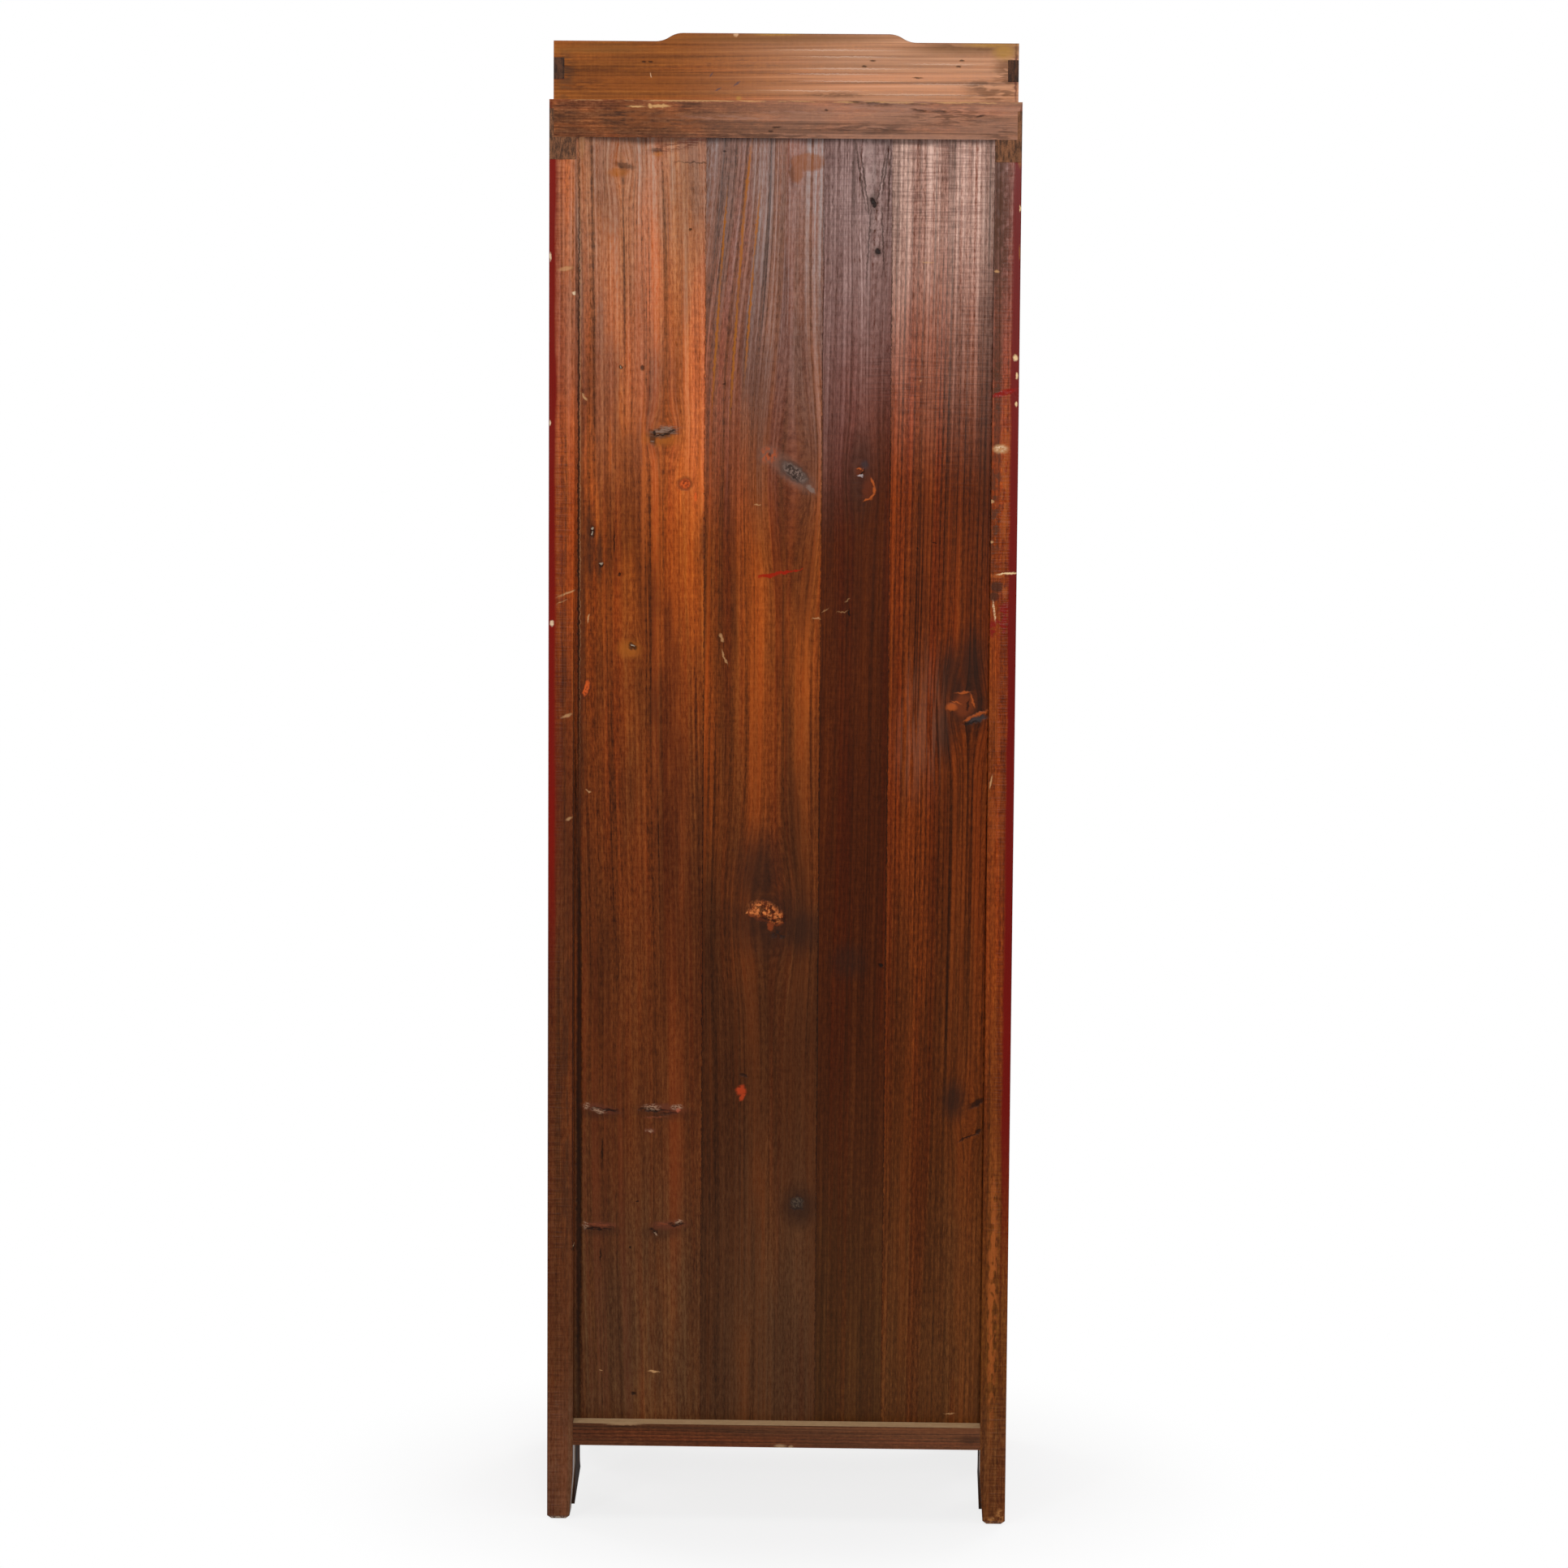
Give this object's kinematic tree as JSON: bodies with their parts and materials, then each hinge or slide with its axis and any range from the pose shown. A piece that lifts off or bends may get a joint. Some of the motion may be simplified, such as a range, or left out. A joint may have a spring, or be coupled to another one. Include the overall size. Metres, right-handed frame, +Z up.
{
  "type": "tall lacquered cabinet",
  "caption": "Tall narrow lacquered wood cabinet with hinged panel doors, shelves, a bottom drawer, bracket feet and a gallery with a raised crest round its top.",
  "frame": {"origin": "on the floor, under the middle of the case", "axes": "+Z up, front with the doors faces -Y, +X to the right of a person who faces the doors"},
  "size_m": [0.57, 0.4345, 1.835],
  "materials": {
    "stained_fir": "brown stain under worn satin varnish",
    "red_lacquer": "worn dark red lacquer",
    "bare_fir": "planed, unfinished",
    "brass": "aged brass"
  },
  "bodies": {
    "case": {"back_board_1": "stained_fir", "back_board_2": "stained_fir", "back_board_3": "stained_fir", "back_board_4": "stained_fir", "bottom_board": "bare_fir", "cupboard_floor": "bare_fir", "drawer_guides": "bare_fir", "drawer_rail": "red_lacquer", "frame_hinge_leaves": "brass", "front_apron": "red_lacquer", "front_bottom_rail": "red_lacquer", "front_post_left": "red_lacquer", "front_post_right": "red_lacquer", "front_top_rail": "red_lacquer", "gallery_back": "stained_fir", "gallery_side_left": "red_lacquer", "gallery_side_right": "red_lacquer", "hinge_pins": "brass", "rear_bottom_rail": "stained_fir", "rear_post_left": "red_lacquer", "rear_post_right": "red_lacquer", "rear_top_rail": "stained_fir", "shelves": "bare_fir", "side_bearers": "bare_fir", "side_bottom_rail_left": "red_lacquer", "side_bottom_rail_right": "red_lacquer", "side_brackets": "red_lacquer", "side_panel_left": "red_lacquer", "side_panel_right": "red_lacquer", "side_top_rail_left": "red_lacquer", "side_top_rail_right": "red_lacquer", "top_board": "red_lacquer"},
    "door_left": {"door_left_bottom_rail": "red_lacquer", "door_left_hinge_leaves": "brass", "door_left_hinge_stile": "red_lacquer", "door_left_lock_stile": "red_lacquer", "door_left_lower_panel": "red_lacquer", "door_left_middle_rail": "red_lacquer", "door_left_pull_plate": "brass", "door_left_top_rail": "red_lacquer", "door_left_upper_panel": "red_lacquer"},
    "door_right": {"door_right_bottom_rail": "red_lacquer", "door_right_hinge_leaves": "brass", "door_right_hinge_stile": "red_lacquer", "door_right_lock_stile": "red_lacquer", "door_right_lower_panel": "red_lacquer", "door_right_middle_rail": "red_lacquer", "door_right_pull_plate": "brass", "door_right_top_rail": "red_lacquer", "door_right_upper_panel": "red_lacquer"},
    "drawer": {"drawer_back": "bare_fir", "drawer_bail_mount": "brass", "drawer_bottom": "bare_fir", "drawer_front": "red_lacquer", "drawer_side_left": "bare_fir", "drawer_side_right": "bare_fir"},
    "drop_left": {"door_left_pull_drop": "brass"},
    "drop_right": {"door_right_pull_drop": "brass"},
    "bail": {"drawer_bail": "brass"}
  },
  "joints": [
    {"name": "door_left_hinge", "type": "hinge", "parent": "case", "child": "door_left", "pos_m": [-0.2524, -0.214, 0.99], "axis": [0, 0, -1], "range_deg": [0, 165]},
    {"name": "door_right_hinge", "type": "hinge", "parent": "case", "child": "door_right", "pos_m": [0.2524, -0.214, 0.99], "axis": [0, 0, 1], "range_deg": [0, 165]},
    {"name": "drawer_slide", "type": "slide", "parent": "case", "child": "drawer", "axis": [0, -1, 0], "range_m": [0, 0.24]},
    {"name": "drop_left_swing", "type": "hinge", "parent": "door_left", "child": "drop_left", "pos_m": [-0.018, -0.218, 0.985], "axis": [-1, 0, 0], "range_deg": [-4, 95]},
    {"name": "drop_right_swing", "type": "hinge", "parent": "door_right", "child": "drop_right", "pos_m": [0.018, -0.218, 0.985], "axis": [-1, 0, 0], "range_deg": [-4, 95]},
    {"name": "bail_swing", "type": "hinge", "parent": "drawer", "child": "bail", "pos_m": [0, -0.22, 0.192], "axis": [-1, 0, 0], "range_deg": [-9, 95]}
  ]
}
